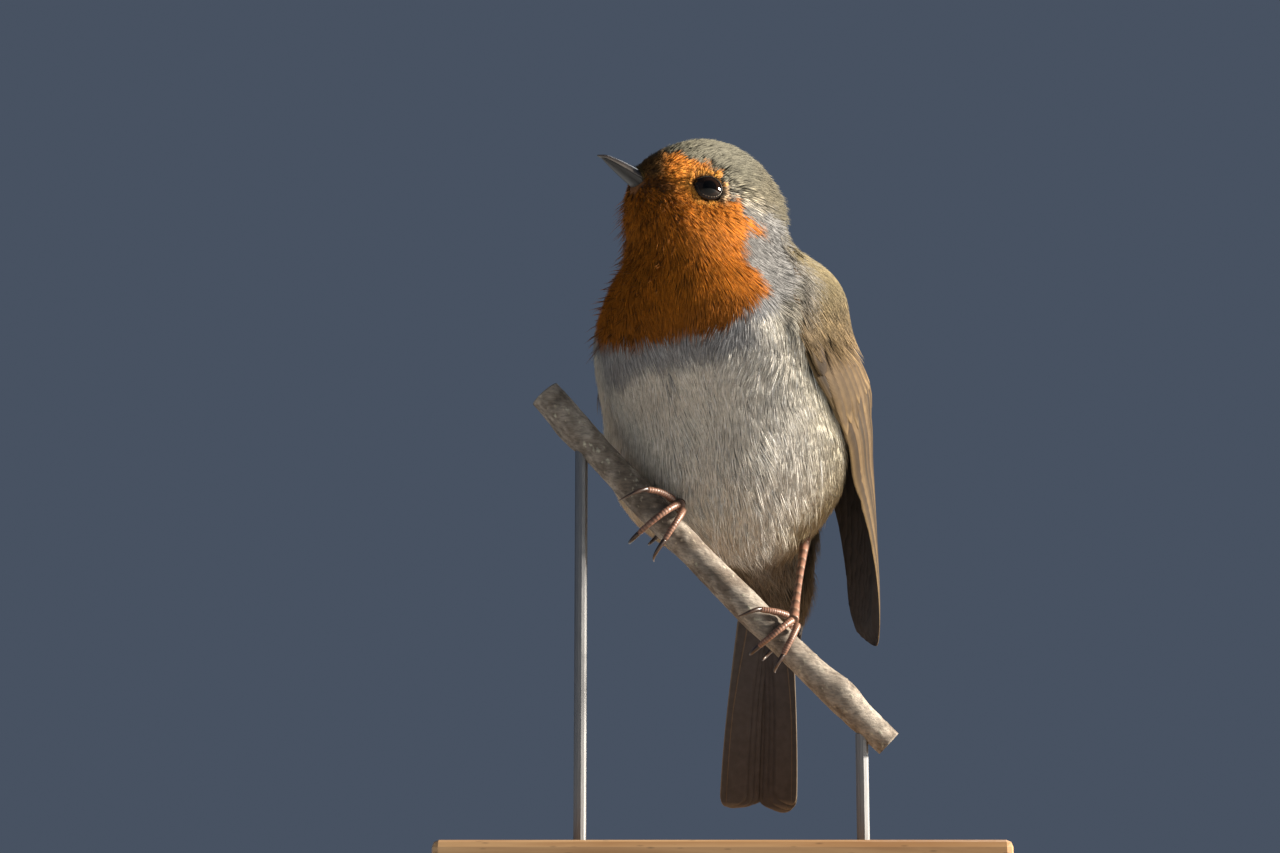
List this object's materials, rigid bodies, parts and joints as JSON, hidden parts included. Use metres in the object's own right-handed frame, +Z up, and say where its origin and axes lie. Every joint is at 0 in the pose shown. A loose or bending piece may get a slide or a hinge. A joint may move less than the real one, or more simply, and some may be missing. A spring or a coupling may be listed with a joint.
{
  "type": "perched european robin model",
  "caption": "Life-size small songbird with an orange breast, head turned, gripping a short slanting branch held by two rods over a flat base.",
  "frame": {"origin": "middle of the stand's underside", "axes": "+Z up; the breast faces -Y and a little towards -X; the perch runs from high at -X to low at +X; +X is the bird's left side"},
  "size_m": [0.1, 0.084, 0.1415],
  "materials": {
    "plumage": "soft overlapping feathers: olive-brown above, orange face and breast, grey band, white belly",
    "flight_feathers": "smooth brown vanes with pale outer edges",
    "eye": "wet, glossy dark brown-black",
    "bill": "dark horn, satin",
    "legs": "scaled pinkish-brown skin, satin",
    "claws": "dark horn",
    "bark": "rough grey-brown bark with pale lichen",
    "stand_wood": "oiled beech",
    "stand_steel": "drawn steel rod"
  },
  "bodies": {
    "root": {"head": "plumage", "neck": "plumage", "trunk": "plumage", "eye_left": "eye", "eye_right": "eye", "bill_upper": "bill", "bill_lower": "bill", "wing_left_coverts": "plumage", "wing_left_flight": "flight_feathers", "wing_left_tertials": "flight_feathers", "wing_right_coverts": "plumage", "wing_right_flight": "flight_feathers", "wing_right_tertials": "flight_feathers", "tail_left": "flight_feathers", "tail_middle": "flight_feathers", "tail_right": "flight_feathers", "tarsus_left": "legs", "tarsus_right": "legs", "toe_left_inner": "legs", "toe_left_middle": "legs", "toe_left_outer": "legs", "toe_left_hind": "legs", "toe_right_inner": "legs", "toe_right_middle": "legs", "toe_right_outer": "legs", "toe_right_hind": "legs", "claw_left_inner": "claws", "claw_left_middle": "claws", "claw_left_outer": "claws", "claw_left_hind": "claws", "claw_right_inner": "claws", "claw_right_middle": "claws", "claw_right_outer": "claws", "claw_right_hind": "claws", "perch": "bark", "stand_base": "stand_wood", "stand_rod_high": "stand_steel", "stand_rod_low": "stand_steel"}
  },
  "joints": []
}
